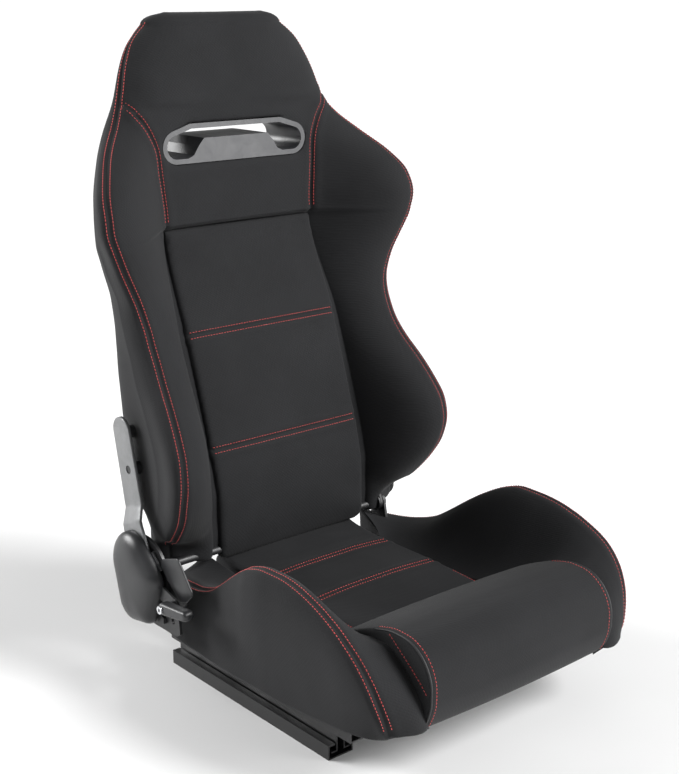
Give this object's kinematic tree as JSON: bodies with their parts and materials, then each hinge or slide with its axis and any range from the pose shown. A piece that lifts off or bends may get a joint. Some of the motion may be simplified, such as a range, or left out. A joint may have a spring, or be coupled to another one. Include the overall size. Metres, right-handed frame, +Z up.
{
  "type": "reclining racing seat",
  "caption": "Reclining sports seat with deep side bolsters, a harness slot below the headrest, a side recline lever and fore-aft floor sliders.",
  "frame": {"origin": "centre of the four floor bolts, on the underside of the floor rails", "axes": "+Z up, +X towards the occupant's left, the seat faces -Y"},
  "size_m": [0.5575, 0.676, 0.892],
  "materials": {
    "rail_black": "black e-coat, satin",
    "frame_black": "black paint",
    "bright_steel": "zinc plated",
    "zinc_yellow": "yellow passivated zinc",
    "spring_steel": "oiled spring steel",
    "arm_grey": "satin grey paint",
    "black_plastic": "fine grained moulding",
    "bezel_grey": "satin grey moulding",
    "charcoal_fabric": "foam under charcoal knit",
    "side_fabric": "foam under dark knit"
  },
  "bodies": {
    "floor_rails": {"lower_rail_rh": "rail_black", "lower_rail_lh": "rail_black"},
    "slide_release": {"slide_release_bar": "frame_black", "latch_plate_rh": "spring_steel", "latch_plate_lh": "spring_steel"},
    "backrest": {"back_arm_rh": "arm_grey", "back_arm_lh": "arm_grey", "arm_bolts": "bright_steel", "back_frame": "frame_black", "back_springs": "spring_steel", "back_insert": "charcoal_fabric", "head_pad": "charcoal_fabric", "wing_rh": "side_fabric", "wing_lh": "side_fabric", "back_cover": "side_fabric", "harness_bezel_front": "bezel_grey", "harness_bezel_rear": "bezel_grey"},
    "recline_lever": {"lever_plate": "black_plastic", "lever_grip": "black_plastic", "lever_screw": "bright_steel", "sync_shaft": "bright_steel"},
    "seat_base": {"upper_rail_rh": "frame_black", "upper_rail_lh": "frame_black", "slide_rollers_rh": "bright_steel", "slide_rollers_lh": "bright_steel", "side_member_rh": "frame_black", "side_member_lh": "frame_black", "seat_pan": "frame_black", "rear_cross_tube": "frame_black", "rail_bolts": "zinc_yellow", "latch_bracket_rh": "frame_black", "latch_bracket_lh": "frame_black", "latch_pins": "bright_steel", "recliner_bracket_rh": "frame_black", "recliner_bracket_lh": "frame_black", "bracket_spacers": "spring_steel", "bracket_bolts": "bright_steel", "recliner_hub_rh": "bright_steel", "recliner_hub_lh": "bright_steel", "return_spring": "spring_steel", "recliner_cover": "black_plastic", "lever_shroud": "black_plastic", "cushion_insert": "charcoal_fabric", "cushion_front_roll": "charcoal_fabric", "cushion_bolster_rh": "side_fabric", "cushion_bolster_lh": "side_fabric"}
  },
  "joints": [
    {"name": "fore_aft_slide", "type": "slide", "parent": "floor_rails", "child": "seat_base", "axis": [0, -1, 0], "range_m": [-0.1, 0.1]},
    {"name": "recline", "type": "hinge", "parent": "seat_base", "child": "backrest", "pos_m": [0, 0.175, 0.16], "axis": [1, 0, 0], "range_deg": [-60, 20]},
    {"name": "recline_lever_lift", "type": "hinge", "parent": "seat_base", "child": "recline_lever", "pos_m": [0, 0.175, 0.16], "axis": [-1, 0, 0], "range_deg": [0, 14], "stiffness_Nm_per_rad": 2, "springref_deg": -8.59},
    {"name": "slide_bar_lift", "type": "hinge", "parent": "seat_base", "child": "slide_release", "pos_m": [0, -0.09, 0.045], "axis": [-1, 0, 0], "range_deg": [0, 5.5], "stiffness_Nm_per_rad": 3, "springref_deg": -8.59}
  ]
}
